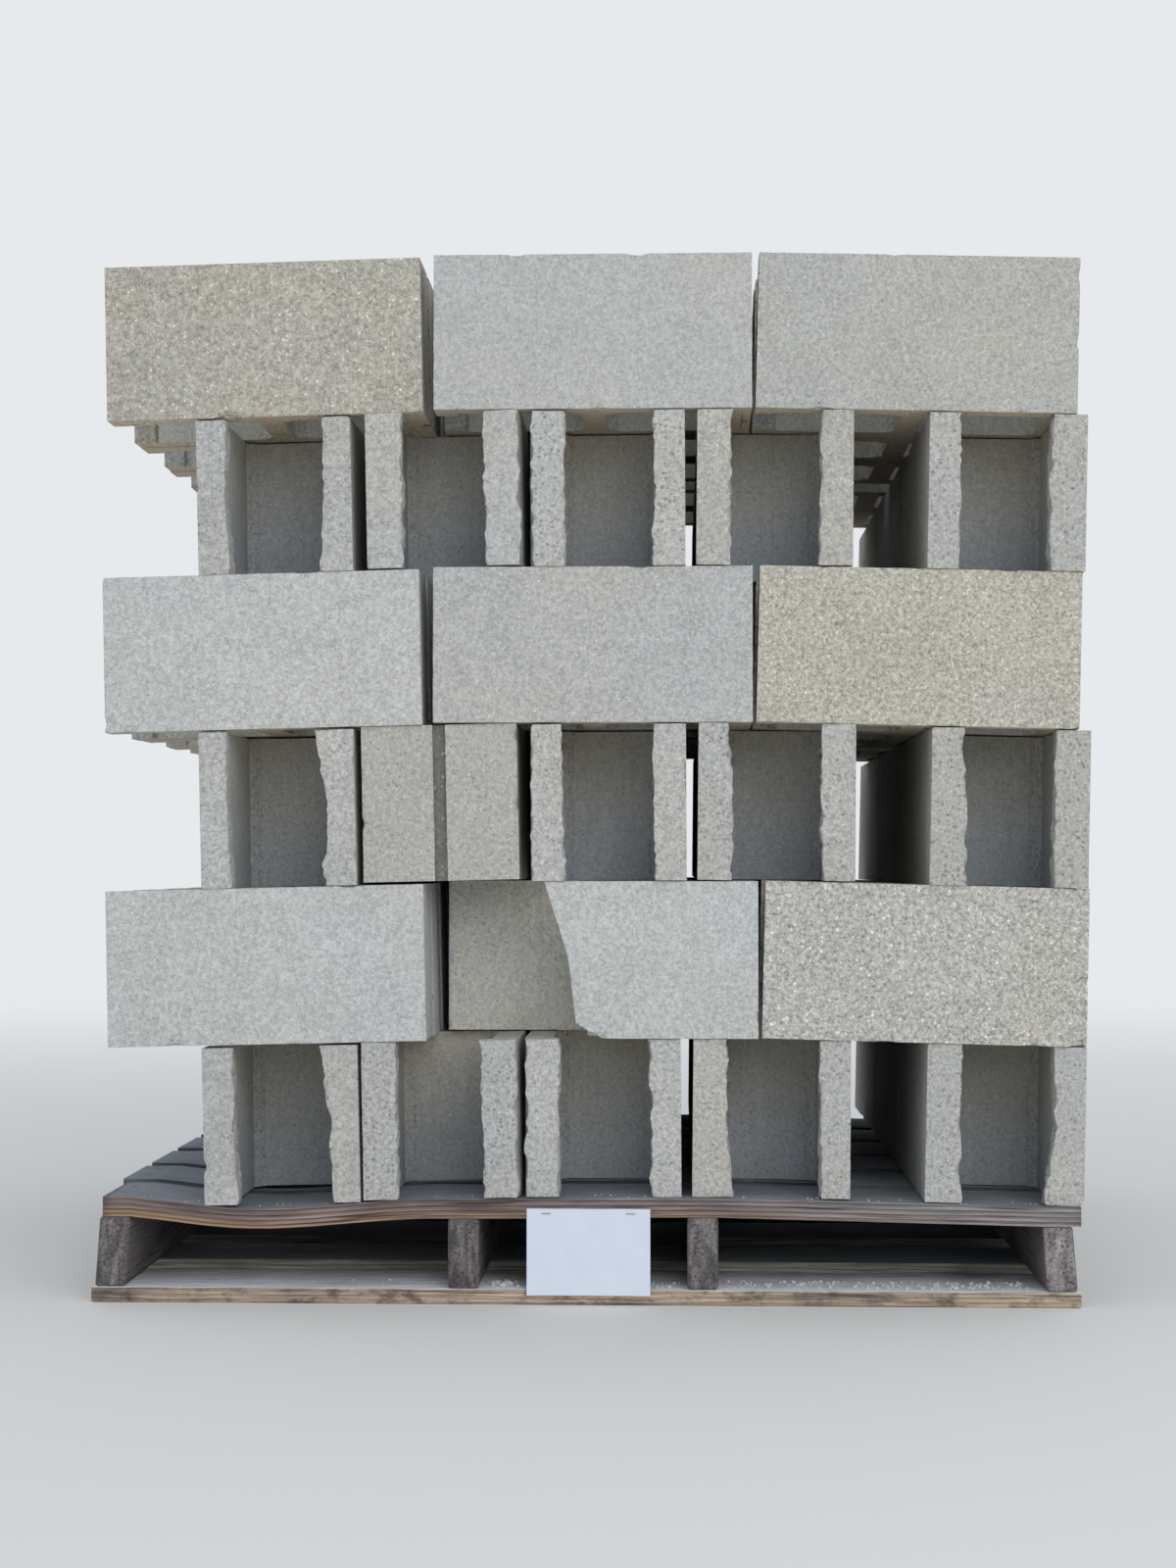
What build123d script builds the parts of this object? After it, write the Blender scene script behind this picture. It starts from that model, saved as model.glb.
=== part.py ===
from build123d import *
import math
import os
import random

# A pallet loaded with six courses of hollow open-end concrete blocks, fifteen to a course.
# Millimetres. The origin is the centre of the pallet's footprint on the floor.
# +X is to the right as one faces the load's front, the front faces -Y, and +Z is up.

# Block: an open-end unit with a closed cell, an open cell and the stubs of a knocked-out end web.
BLOCK_LENGTH = 397.0
BLOCK_WIDTH = 194.0
BLOCK_HEIGHT = 194.0
SHELL = 33.0
END_WEB = 33.0
MIDDLE_WEB = 30.0
CLOSED_CELL_LENGTH = 150.0
CELL_CORNER = 14.0
CELL_TAPER_DEG = 0.4
STUB_LENGTH = 28.0
STUB_MIN = 3.0
STUB_MAX = 15.0
STUB_STEPS = 4
STUB_ROUGHNESS = 0.45
GROOVE_WIDTH = 12.0
GROOVE_DEPTH = 9.0

# Pallet: four stringers, six deck boards and five bottom boards, all of sawn planks.
PALLET_LENGTH = 1219.0
PALLET_DEPTH = 1016.0
STRINGER_WIDTH = 38.0
STRINGER_HEIGHT = 89.0
OUTER_STRINGER_INSET = 10.0
INNER_STRINGER_X = 147.5
STRINGER_WEAR = (2.0, 3.0, 0.0, 9.0)
STRINGER_SPLAY = 6.0
DECK_BOARD_WIDTH = 140.0
DECK_BOARD_THICKNESS = 24.0
DECK_BOARDS = 6
BOTTOM_BOARD_WIDTH = 140.0
BOTTOM_BOARD_THICKNESS = 19.0
BOTTOM_BOARDS = 5
BAY_SAG = 14.0
SAG_SKEW = 0.75
SAG_STATIONS = 6
LEAD_BOARD_SHORT = 14.0

# Load: odd courses lie in five columns with their open ends to the front, even courses in five
# rows with their open ends to the left. Joints are the gaps between blocks, from left to right.
COURSES = 6
TIGHT_JOINT = 4.0
HALF_JOINT = 8.0
OPEN_JOINT = 13.0
WIDE_JOINT = 18.0
PASSAGE = 91.0
COLUMN_SETBACK = 135.0
ROW_SETBACK = 13.0
SHIFT = 6.0
COLUMN_STARTS = {1: COLUMN_SETBACK + SHIFT, 3: COLUMN_SETBACK, 5: COLUMN_SETBACK - SHIFT}
COLUMN_JOINTS = {
    1: (TIGHT_JOINT, TIGHT_JOINT, OPEN_JOINT, PASSAGE),
    3: (HALF_JOINT, OPEN_JOINT, OPEN_JOINT, PASSAGE),
    5: (WIDE_JOINT, HALF_JOINT, OPEN_JOINT, PASSAGE),
}
ROW_STARTS = {2: ROW_SETBACK + SHIFT, 4: ROW_SETBACK, 6: ROW_SETBACK}
ROW_JOINTS = (OPEN_JOINT, TIGHT_JOINT)
ROWS = 5
ROWS_BEFORE_GAP = 3
ROW_GAP = 4.0
WIDE_ROW_GAP = 80.0
BLOCKS_DEEP = 3
END_GAP = 4.0
LINE_SCATTER = 4.0
SEAT_CLEARANCE = 0.2
CONTACT_STEPS = 16
COLUMN_SLOPES = (0.026, 0.022, 0.004, -0.010, -0.024)
ROW_SLOPES = (0.024, 0.0, -0.026)

# One block stands the other way round, and one has lost most of its front shell at the open end.
# The break line runs from the block's top to its foot, in shares of its length and height.
TURNED_BLOCK = (3, 2, 1)
BROKEN_BLOCK = (2, 1, 2)
BREAK_LINE = ((0.33, 1.02), (0.378, 0.72), (0.41, 0.5), (0.433, 0.1), (0.526, -0.02))

# Paper tag, stapled to the lead deck board's edge.
TAG_WIDTH = 152.0
TAG_HEIGHT = 106.0
TAG_THICKNESS = 0.6
TAG_CENTRE_X = 7.0
TAG_TOP_BELOW_DECK = 14.0
TAG_CLEARANCE = 0.3

FRONT_Y = -PALLET_DEPTH / 2
CELL_WIDTH = BLOCK_WIDTH - 2 * SHELL
CLOSED_CELL_START = BLOCK_LENGTH - END_WEB - CLOSED_CELL_LENGTH
OPEN_CELL_END = CLOSED_CELL_START - MIDDLE_WEB
DECK_TOP = BOTTOM_BOARD_THICKNESS + STRINGER_HEIGHT + DECK_BOARD_THICKNESS
OUTER_STRINGER_X = PALLET_LENGTH / 2 - OUTER_STRINGER_INSET - STRINGER_WIDTH / 2
STRINGER_X = (-OUTER_STRINGER_X, -INNER_STRINGER_X, INNER_STRINGER_X, OUTER_STRINGER_X)
STRINGER_LEAN = (-STRINGER_SPLAY, 0.0, 0.0, STRINGER_SPLAY)


def tapered_cell(outline):
    """A cell core that is widest at the block's foot and narrows towards its top."""
    return extrude(outline, BLOCK_HEIGHT, taper=CELL_TAPER_DEG)


def plain_block():
    """The block before its end web is knocked out: x along it, the open end at x = 0."""
    shape = Box(BLOCK_LENGTH, BLOCK_WIDTH, BLOCK_HEIGHT, align=(Align.MIN, Align.CENTER, Align.MIN))
    closed_outline = Rectangle(CLOSED_CELL_LENGTH, CELL_WIDTH)
    closed_outline = chamfer(closed_outline.vertices(), CELL_CORNER)
    closed_middle = CLOSED_CELL_START + CLOSED_CELL_LENGTH / 2
    shape -= tapered_cell(Pos(closed_middle, 0, 0) * closed_outline)
    open_length = OPEN_CELL_END - STUB_LENGTH
    open_outline = Rectangle(open_length, CELL_WIDTH)
    inner_corners = open_outline.vertices().group_by(Axis.X)[-1]
    open_outline = chamfer(inner_corners, CELL_CORNER)
    shape -= tapered_cell(Pos(STUB_LENGTH + open_length / 2, 0, 0) * open_outline)
    groove = Box(GROOVE_DEPTH, GROOVE_WIDTH, BLOCK_HEIGHT, align=(Align.MAX, Align.CENTER, Align.MIN))
    shape -= Pos(BLOCK_LENGTH, 0, 0) * groove
    return shape


def stub_edge(chance, side):
    """The jagged inner edge of one stub, from the block's foot to its top, as (y, z) points."""
    reach = chance.uniform(STUB_MIN, STUB_MAX)
    points = []
    for step in range(STUB_STEPS + 1):
        depth = max(STUB_MIN, reach * (1 + chance.uniform(-STUB_ROUGHNESS, STUB_ROUGHNESS)))
        level = step + (0 if step in (0, STUB_STEPS) else chance.uniform(-0.3, 0.3))
        points.append((side * (CELL_WIDTH / 2 - depth), level * BLOCK_HEIGHT / STUB_STEPS))
    return points


def open_end(chance):
    """What is missing of the end web: the opening between the two jagged stubs."""
    left = stub_edge(chance, -1)
    right = stub_edge(chance, 1)
    outline = make_face(Polyline(*left, *reversed(right), close=True))
    section = Plane(origin=(0, 0, 0), x_dir=(0, 1, 0), z_dir=(1, 0, 0)) * outline
    return extrude(section, STUB_LENGTH, dir=(1, 0, 0))


def broken_shell():
    """The piece that has come off the front shell, from the open end to the break line."""
    shares = [(0.0, BREAK_LINE[-1][1]), (0.0, BREAK_LINE[0][1]), *BREAK_LINE]
    points = [(along * BLOCK_LENGTH, up * BLOCK_HEIGHT) for along, up in shares]
    outline = make_face(Polyline(*points, close=True))
    section = Plane(origin=(0, 0, 0), x_dir=(1, 0, 0), z_dir=(0, -1, 0)) * outline
    depth = SHELL + STUB_MAX * (1 + STUB_ROUGHNESS)
    shell_piece = extrude(section, depth, dir=(0, 1, 0))
    return Pos(0, -BLOCK_WIDTH / 2, 0) * shell_piece


def lifted(shape, left, front, base, slope):
    """Turns a block down along the course's slope and sets its foot at its resting height."""
    width = shape.bounding_box().size.X
    turned = Pos(-width / 2, 0, 0) * shape
    turned = Rot(0, -math.degrees(math.atan(slope)), 0) * turned
    return Pos(left + width / 2, front, base) * turned


def deck_bends():
    """Where the deck boards bend: over both edges of every stringer's top, as (x, height)."""
    sides = (-STRINGER_WIDTH / 2, STRINGER_WIDTH / 2)
    return [(x + side, DECK_TOP - wear) for x, wear in zip(STRINGER_X, STRINGER_WEAR) for side in sides]


def bay_sag(x):
    """How far the loaded left bay has sagged here. It is lowest a little left of its middle."""
    start = STRINGER_X[0] + STRINGER_WIDTH / 2
    end = STRINGER_X[1] - STRINGER_WIDTH / 2
    share = min(1.0, max(0.0, (x - start) / (end - start)))
    return BAY_SAG * math.sin(math.pi * share ** SAG_SKEW) ** 2


def deck_height(x):
    """The top of the deck boards, which follow the worn stringers and sag in the left bay."""
    bends = deck_bends()
    for (start, start_height), (end, end_height) in zip(bends, bends[1:]):
        if x <= end:
            share = max(0.0, (x - start) / (end - start))
            return start_height + share * (end_height - start_height) - bay_sag(x)
    return bends[-1][1]


def resting_height(left, width, slope, supports):
    """The height of a piece's middle when it comes down on the highest thing under it."""
    middle = left + width / 2
    contacts = []
    for start, end, height_at in supports:
        low = max(left, start)
        high = min(left + width, end)
        if high > low:
            stations = [low + (high - low) * step / CONTACT_STEPS for step in range(CONTACT_STEPS + 1)]
            contacts += [height_at(x) - slope * (x - middle) for x in stations]
    return max(contacts) + SEAT_CLEARANCE


def top_line(left, width, slope, base):
    """The top of a placed block, as a stretch of x and the height along it."""
    middle = left + width / 2
    rise = BLOCK_HEIGHT * math.sqrt(1 + slope * slope)
    return left, left + width, lambda x: base + rise + slope * (x - middle)


def left_edges(start, width, joints):
    """The left edges of a course's columns or rows of blocks, from its setback and its joints."""
    edges = [start - PALLET_LENGTH / 2]
    for joint in joints:
        edges.append(edges[-1] + width + joint)
    return edges


def scatter(course, line):
    """How far a whole column or row lies out of line. The front row is the measured one."""
    if course % 2 == 0 and line == 1:
        return 0.0
    return random.Random(100 * course + line).uniform(-LINE_SCATTER, LINE_SCATTER)


def row_front(row):
    """The front face of a row of an even course."""
    front = FRONT_Y + (row - 1) * (BLOCK_WIDTH + ROW_GAP)
    return front + (WIDE_ROW_GAP - ROW_GAP if row > ROWS_BEFORE_GAP else 0)


def build_block(course, line, place):
    """One block, with stubs of its own, and turned round or broken where the load has such a one."""
    chance = random.Random(1000 * course + 10 * line + place)
    shape = PLAIN_BLOCK - open_end(chance)
    if (course, line, place) == BROKEN_BLOCK:
        shape -= broken_shell()
    return shape


def odd_course(course, supports):
    """Five columns, three blocks deep, with open ends to the front. Returns the tops for the next."""
    tops = []
    lefts = left_edges(COLUMN_STARTS[course], BLOCK_WIDTH, COLUMN_JOINTS[course])
    for column, (left, slope) in enumerate(zip(lefts, COLUMN_SLOPES), start=1):
        base = resting_height(left, BLOCK_WIDTH, slope, supports)
        blocks = []
        for place in range(1, BLOCKS_DEEP + 1):
            shape = Rot(0, 0, 90) * build_block(course, column, place)
            if (course, column, place) == TURNED_BLOCK:
                shape = Pos(0, BLOCK_LENGTH, 0) * Rot(0, 0, 180) * shape
            front = FRONT_Y + (place - 1) * (BLOCK_LENGTH + END_GAP) + scatter(course, column)
            blocks.append(lifted(Pos(BLOCK_WIDTH / 2, 0, 0) * shape, left, front, base, slope))
        write(blocks, f"course_{course}_column_{column}")
        tops.append(top_line(left, BLOCK_WIDTH, slope, base))
    return tops


def even_course(course, supports):
    """Five rows of three blocks, with open ends to the left. Returns the tops for the next."""
    lefts = left_edges(ROW_STARTS[course], BLOCK_LENGTH, ROW_JOINTS)
    bases = [resting_height(left, BLOCK_LENGTH, slope, supports)
             for left, slope in zip(lefts, ROW_SLOPES)]
    for row in range(1, ROWS + 1):
        blocks = []
        slide = scatter(course, row)
        for place, (left, slope, base) in enumerate(zip(lefts, ROW_SLOPES, bases), start=1):
            shape = Pos(0, BLOCK_WIDTH / 2, 0) * build_block(course, row, place)
            along = left + slide
            blocks.append(lifted(shape, along, row_front(row), base + slope * slide, slope))
        write(blocks, f"course_{course}_row_{row}")
    return [top_line(left, BLOCK_LENGTH, slope, base)
            for left, slope, base in zip(lefts, ROW_SLOPES, bases)]


def write(solids, name):
    """Writes one node. The solids of a node do not touch each other."""
    shape = solids[0] if len(solids) == 1 else Compound(children=list(solids))
    export_step(shape, f"parts/{name}.step")


def stringer(x, wear, splay):
    """One stringer on edge along Y, on the bottom boards. Its foot is this far out of plumb."""
    height = STRINGER_HEIGHT - wear
    half = STRINGER_WIDTH / 2
    foot = [(x - half + splay, 0), (x + half + splay, 0)]
    head = [(x + half, height), (x - half, height)]
    outline = make_face(Polyline(*foot, *head, close=True))
    front = Plane(origin=(0, FRONT_Y, BOTTOM_BOARD_THICKNESS), x_dir=(1, 0, 0), z_dir=(0, -1, 0))
    return extrude(front * outline, PALLET_DEPTH, dir=(0, 1, 0))


def deck_line(drop, short):
    """A deck board's edge this far below the deck's top, as lines from its left to its right end."""
    bends = [(x, height - drop) for x, height in deck_bends()[1:-1]]
    left_end = (short - PALLET_LENGTH / 2, bends[0][1])
    right_end = (PALLET_LENGTH / 2, bends[-1][1])
    bay_start, bay_end = bends[0][0], bends[1][0]
    bay = [bay_start + (bay_end - bay_start) * step / SAG_STATIONS for step in range(SAG_STATIONS + 1)]
    sagging = Spline(*[(x, deck_height(x) - drop) for x in bay])
    lines = [Line(left_end, bends[0]), sagging, Polyline(*bends[1:], right_end)]
    return left_end, right_end, lines


def deck_board(front, short=0.0):
    """A deck board along X, this much short at the left, bent over the stringers by its load."""
    top_left, top_right, top = deck_line(0, short)
    foot_left, foot_right, foot = deck_line(DECK_BOARD_THICKNESS, short)
    outline = make_face(top + foot + [Line(top_left, foot_left), Line(top_right, foot_right)])
    section = Plane(origin=(0, front, 0), x_dir=(1, 0, 0), z_dir=(0, -1, 0)) * outline
    return extrude(section, DECK_BOARD_WIDTH, dir=(0, 1, 0))


def bottom_board(front):
    """A flat bottom board along X."""
    size = (PALLET_LENGTH, BOTTOM_BOARD_WIDTH, BOTTOM_BOARD_THICKNESS)
    return Pos(0, front, 0) * Box(*size, align=(Align.CENTER, Align.MIN, Align.MIN))


def spaced_fronts(count, width):
    """Front edges of boards spread evenly over the pallet's depth, flush with both ends."""
    pitch = (PALLET_DEPTH - width) / (count - 1)
    return [FRONT_Y + number * pitch for number in range(count)]


def paper_tag():
    """The sheet of paper that hangs from the lead deck board's edge."""
    size = (TAG_WIDTH, TAG_THICKNESS, TAG_HEIGHT)
    sheet = Box(*size, align=(Align.CENTER, Align.MAX, Align.MAX))
    return Pos(TAG_CENTRE_X, FRONT_Y - TAG_CLEARANCE, DECK_TOP - TAG_TOP_BELOW_DECK) * sheet


os.makedirs("parts", exist_ok=True)
PLAIN_BLOCK = plain_block()

for number, front in enumerate(spaced_fronts(BOTTOM_BOARDS, BOTTOM_BOARD_WIDTH), start=1):
    write([bottom_board(front)], f"bottom_board_{number}")

for number, stringer_values in enumerate(zip(STRINGER_X, STRINGER_WEAR, STRINGER_LEAN), start=1):
    write([stringer(*stringer_values)], f"stringer_{number}")

write([deck_board(FRONT_Y, LEAD_BOARD_SHORT)], "deck_board_1")
for number, front in enumerate(spaced_fronts(DECK_BOARDS, DECK_BOARD_WIDTH)[1:], start=2):
    write([deck_board(front)], f"deck_board_{number}")
write([paper_tag()], "paper_tag")

deck_edges = [-PALLET_LENGTH / 2, *[x for x, _ in deck_bends()], PALLET_LENGTH / 2]
layer_tops = [(start, end, deck_height) for start, end in zip(deck_edges, deck_edges[1:])]
for course in range(1, COURSES + 1):
    lay = odd_course if course % 2 else even_course
    layer_tops = lay(course, layer_tops)
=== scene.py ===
import math

import bmesh
import bpy
import numpy as np
from mathutils import Matrix, Vector


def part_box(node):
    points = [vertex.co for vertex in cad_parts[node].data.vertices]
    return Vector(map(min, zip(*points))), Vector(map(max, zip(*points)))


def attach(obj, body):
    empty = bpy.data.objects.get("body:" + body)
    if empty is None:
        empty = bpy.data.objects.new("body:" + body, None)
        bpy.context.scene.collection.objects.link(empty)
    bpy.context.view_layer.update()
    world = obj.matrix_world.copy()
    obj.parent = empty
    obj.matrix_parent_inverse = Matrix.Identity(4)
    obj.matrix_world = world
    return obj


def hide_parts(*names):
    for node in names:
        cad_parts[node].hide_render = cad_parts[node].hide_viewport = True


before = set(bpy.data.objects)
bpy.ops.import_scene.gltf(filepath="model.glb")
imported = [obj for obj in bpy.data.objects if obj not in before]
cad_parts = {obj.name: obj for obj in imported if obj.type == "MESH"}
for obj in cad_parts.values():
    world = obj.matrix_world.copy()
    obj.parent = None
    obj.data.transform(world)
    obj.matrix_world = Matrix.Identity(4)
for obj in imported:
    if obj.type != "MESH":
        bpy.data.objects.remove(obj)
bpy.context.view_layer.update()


# Bottom boards. Five sawn softwood planks that lie flat across the pallet's width and are nailed
# up into the stringers. The front one is paler and yellower than the rest, with long grain lines.

JOIN_DISTANCE = 1e-5
FLAT_TURN = math.radians(0.3)


def dissolve_flat(copy):
    """Merges a bmesh's double vertices and dissolves its flat faces."""
    bmesh.ops.remove_doubles(copy, verts=copy.verts, dist=JOIN_DISTANCE)
    bmesh.ops.dissolve_limit(copy, angle_limit=FLAT_TURN, verts=copy.verts, edges=copy.edges)


def plain_copy(node):
    """A merged copy of a node's mesh, with its flat faces dissolved, as a bmesh."""
    copy = bmesh.new()
    copy.from_mesh(bpy.data.objects[node].data)
    dissolve_flat(copy)
    return copy


def mesh_from(copy, name):
    """A bmesh as a mesh of this name."""
    mesh = bpy.data.meshes.new(name)
    copy.to_mesh(mesh)
    copy.free()
    return mesh


def placed(name, data):
    """A new object of this name in the scene."""
    piece = bpy.data.objects.new(name, data)
    bpy.context.scene.collection.objects.link(piece)
    return piece


def lattice_noise(points, size, seed):
    """Smooth value noise from -1 to 1 at each point, with features of this size in metres."""
    spots = points / size + seed * 17.31
    cell = np.floor(spots).astype(np.int64)
    part = spots - cell
    part = part * part * (3 - 2 * part)
    total = np.zeros(len(points))
    for corner in range(8):
        step = np.array([corner & 1, corner >> 1 & 1, corner >> 2 & 1])
        x, y, z = (cell + step).T
        mixed = (x * 73856093) ^ (y * 19349663) ^ (z * 83492791) ^ (seed * 2654435761)
        mixed = (mixed ^ (mixed >> 13)) * 1274126177 & 0x7FFFFFFF
        share = np.prod(np.where(step == 1, part, 1 - part), axis=1)
        total += share * (mixed / 0x3FFFFFFF - 1.0)
    return total


def read_rows(source, name):
    """What each vertex has three numbers of, its place or its normal, as an array of rows."""
    values = np.empty(len(source) * 3)
    source.foreach_get(name, values)
    return values.reshape(-1, 3)


def write_points(mesh, points):
    """Moves the vertices to these rows."""
    mesh.vertices.foreach_set("co", points.ravel())
    mesh.update()


def cut_across(copy, axis, place, snap=0.0):
    """Cuts a bmesh by the plane that crosses one axis at this place."""
    spot, normal = Vector(), Vector()
    spot[axis] = place
    normal[axis] = 1.0
    everything = copy.verts[:] + copy.edges[:] + copy.faces[:]
    bmesh.ops.bisect_plane(copy, geom=everything, dist=snap, plane_co=spot, plane_no=normal)


def slice_along(copy, axis, pitch):
    """Cuts a bmesh into lengths along one axis, so that its faces can bend and wear."""
    places = [vert.co[axis] for vert in copy.verts]
    low, high = min(places), max(places)
    count = max(1, round((high - low) / pitch))
    for number in range(1, count):
        cut_across(copy, axis, low + (high - low) * number / count)


def sharp_edges(copy, least_degrees):
    """The edges of a bmesh that turn by more than this angle."""
    least = math.radians(least_degrees)
    return [edge for edge in copy.edges if edge.is_manifold and edge.calc_face_angle(0.0) > least]


def finish_piece(piece, nodes, slot, *materials):
    """Gives a piece its materials and puts it on the body, in place of its CAD nodes."""
    for material in materials:
        piece.data.materials.append(material)
    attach(piece, "root")
    if nodes:
        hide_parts(*nodes)


def write_values(mesh, name, domain, values):
    """Writes one value on each vertex or face, for the material to read."""
    layer = mesh.attributes.new(name, "FLOAT", domain)
    layer.data.foreach_set("value", np.asarray(values, dtype=np.float32))


PLANK_PITCH = 0.016
PLANK_EDGE = 0.0022
PLANK_SHARP_DEGREES = 40
PLANK_CORNER = 0.29
PLANK_WEAR = 0.0011
PLANK_WEAR_SIZE = 0.012
PLANK_DENT = 0.0024
PLANK_DENT_SIZE = 0.009
PLANK_UNDENTED = 0.35
WEAR_STRETCH = 0.25
TOP_FACING = 0.7


def write_wave(mesh, points, normals):
    """Writes on each vertex how far its plank's top lies below the plank's highest place."""
    top = points[normals[:, 2] > TOP_FACING]
    top = top[np.argsort(top[:, 0])]
    wave = np.interp(points[:, 0], top[:, 0], top[:, 2]) - top[:, 2].max()
    write_values(mesh, "wave", "POINT", wave)


def sawn_plank(node, along, seed, material, edge=PLANK_EDGE):
    """A plank in place of its node: worn round its edges, dented, and cut a little unevenly."""
    copy = plain_copy(node)
    slice_along(copy, along, PLANK_PITCH)
    edges = sharp_edges(copy, PLANK_SHARP_DEGREES)
    bmesh.ops.bevel(copy, geom=edges, offset=edge, segments=3, profile=0.6, affect="EDGES",
                    clamp_overlap=True)
    mesh = mesh_from(copy, node + "_worn")
    points = read_rows(mesh.vertices, "co")
    normals = read_rows(mesh.vertex_normals, "vector")
    if along == 0:
        write_wave(mesh, points, normals)
    corner = np.clip((1 - np.abs(normals).max(axis=1)) / PLANK_CORNER, 0, 1)
    stretch = np.ones(3)
    stretch[along] = WEAR_STRETCH
    wear = 0.5 + 0.5 * lattice_noise(points * stretch, PLANK_WEAR_SIZE, seed)
    dents = lattice_noise(points * stretch, PLANK_DENT_SIZE, seed + 5) - PLANK_UNDENTED
    dents = np.clip(dents, 0, 1) / (1 - PLANK_UNDENTED)
    depth = corner * (PLANK_WEAR * wear + PLANK_DENT * dents)
    write_points(mesh, points - normals * depth[:, None])
    mesh.shade_smooth()
    mesh.set_sharp_from_angle(angle=math.radians(PLANK_SHARP_DEGREES))
    finish_piece(placed(node + "_worn", mesh), [node], "pallet_wood", material)


def socket(tree, name, kind, into=True, value=None):
    """Adds one named socket to a node group's interface."""
    direction = "INPUT" if into else "OUTPUT"
    made = tree.interface.new_socket(name, in_out=direction, socket_type=kind)
    if value is not None:
        made.default_value = value


def set_inputs(tree, node, inputs):
    """Links sockets to a node's inputs, and writes plain values on them."""
    for name, value in inputs.items():
        target = node.inputs[name]
        if isinstance(value, bpy.types.NodeSocket):
            tree.links.new(value, target)
        elif target.type == "RGBA" and len(value) == 3:
            target.default_value = (*value, 1.0)
        else:
            target.default_value = value


def add_node(tree, kind, **settings):
    """Adds a node to a tree: plain settings by name, and socket values as a dict called inputs."""
    inputs = settings.pop("inputs", {})
    node = tree.nodes.new(kind)
    for name, value in settings.items():
        setattr(node, name, value)
    set_inputs(tree, node, inputs)
    return node


def maths(tree, operation, first, second=0.0, third=None, clamp=False):
    """A Math node's result."""
    inputs = {0: first, 1: second}
    if third is not None:
        inputs[2] = third
    node = add_node(tree, "ShaderNodeMath", operation=operation, use_clamp=clamp, inputs=inputs)
    return node.outputs[0]


def times(tree, first, second, plus=None):
    """Two values multiplied, and a third added where there is one."""
    return maths(tree, "MULTIPLY" if plus is None else "MULTIPLY_ADD", first, second, plus)


def ramp(tree, value, *stops):
    """A colour ramp's colour, from (place, colour) stops."""
    node = add_node(tree, "ShaderNodeValToRGB", inputs={0: value})
    while len(node.color_ramp.elements) < len(stops):
        node.color_ramp.elements.new(0.5)
    for element, (place, colour) in zip(node.color_ramp.elements, stops):
        element.position = place
        element.color = (*colour, 1.0)
    return node.outputs[0]


def stretch_range(tree, value, low, high, new_low=0.0, new_high=1.0):
    """A clamped Map Range."""
    names = {"Value": value, "From Min": low, "From Max": high, "To Min": new_low, "To Max": new_high}
    return add_node(tree, "ShaderNodeMapRange", clamp=True, inputs=names).outputs[0]


def blend_colours(tree, share, first, second, mode="MIX"):
    """A Mix node's colour."""
    inputs = {0: share, 6: first, 7: second}
    return add_node(tree, "ShaderNodeMix", data_type="RGBA", blend_type=mode, inputs=inputs).outputs[2]


def tinted(tree, colour, tint):
    """A colour multiplied by a tint or by a value."""
    return blend_colours(tree, 1.0, colour, tint, "MULTIPLY")


def noise(tree, vector, scale, detail=3.0, rough=0.55, distortion=0.0):
    """A Noise Texture's factor. A scale of three numbers draws it out along the axes."""
    if isinstance(scale, tuple):
        vector = add_node(tree, "ShaderNodeMapping", inputs={"Vector": vector, "Scale": scale}).outputs[0]
        scale = 1.0
    names = {"Vector": vector, "Scale": scale, "Detail": detail, "Roughness": rough,
             "Distortion": distortion}
    return add_node(tree, "ShaderNodeTexNoise", inputs=names).outputs["Fac"]


def object_place(tree):
    """The place on the object, in the object's own frame."""
    return add_node(tree, "ShaderNodeTexCoord").outputs["Object"]


def parts_of(tree, vector):
    """A vector's x, y and z."""
    return add_node(tree, "ShaderNodeSeparateXYZ", inputs={0: vector}).outputs


def wood_grain_group():
    """Weathered softwood grain along X: growth lines, fibres, dirt and their height."""
    tree = bpy.data.node_groups.new("weathered_grain", "ShaderNodeTree")
    socket(tree, "Vector", "NodeSocketVector")
    socket(tree, "Line Spacing", "NodeSocketFloat", value=0.004)
    socket(tree, "Waviness", "NodeSocketFloat", value=1.0)
    for name in ("Lines", "Fibres", "Stain", "Cracks", "Height"):
        socket(tree, name, "NodeSocketFloat", into=False)
    start = tree.nodes.new("NodeGroupInput").outputs
    place = start["Vector"]
    drift = noise(tree, place, (1.6, 9.0, 9.0), 2.0)
    drift = times(tree, maths(tree, "SUBTRACT", drift, 0.5), start["Waviness"])
    parts = parts_of(tree, place)
    depth = maths(tree, "ADD", times(tree, parts[1], 0.35), parts[2])
    rings = maths(tree, "DIVIDE", depth, start["Line Spacing"])
    rings = maths(tree, "FRACT", maths(tree, "ADD", rings, times(tree, drift, 9.0)))
    late = maths(tree, "POWER", rings, 3.0)
    early = stretch_range(tree, rings, 0.0, 0.12, 1.0, 0.0)
    lines = maths(tree, "MAXIMUM", late, early)
    fibres = noise(tree, place, (14.0, 700.0, 700.0), 4.0, 0.6)
    stain = noise(tree, place, (4.0, 16.0, 16.0), 4.0, 0.6)
    cracks = noise(tree, place, (5.0, 240.0, 240.0), 2.0, 0.5, 0.3)
    cracks = stretch_range(tree, cracks, 0.60, 0.66)
    height = maths(tree, "SUBTRACT", times(tree, fibres, 0.6), times(tree, lines, 0.4))
    height = maths(tree, "SUBTRACT", height, times(tree, cracks, 0.8))
    set_inputs(tree, tree.nodes.new("NodeGroupOutput"), {
        "Lines": lines, "Fibres": fibres, "Stain": stain, "Cracks": cracks, "Height": height})
    return tree


def new_material(name):
    """A new material with its node tree and its surface shader."""
    material = bpy.data.materials.new(name)
    material.use_nodes = True
    return material, material.node_tree, material.node_tree.nodes["Principled BSDF"]


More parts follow.
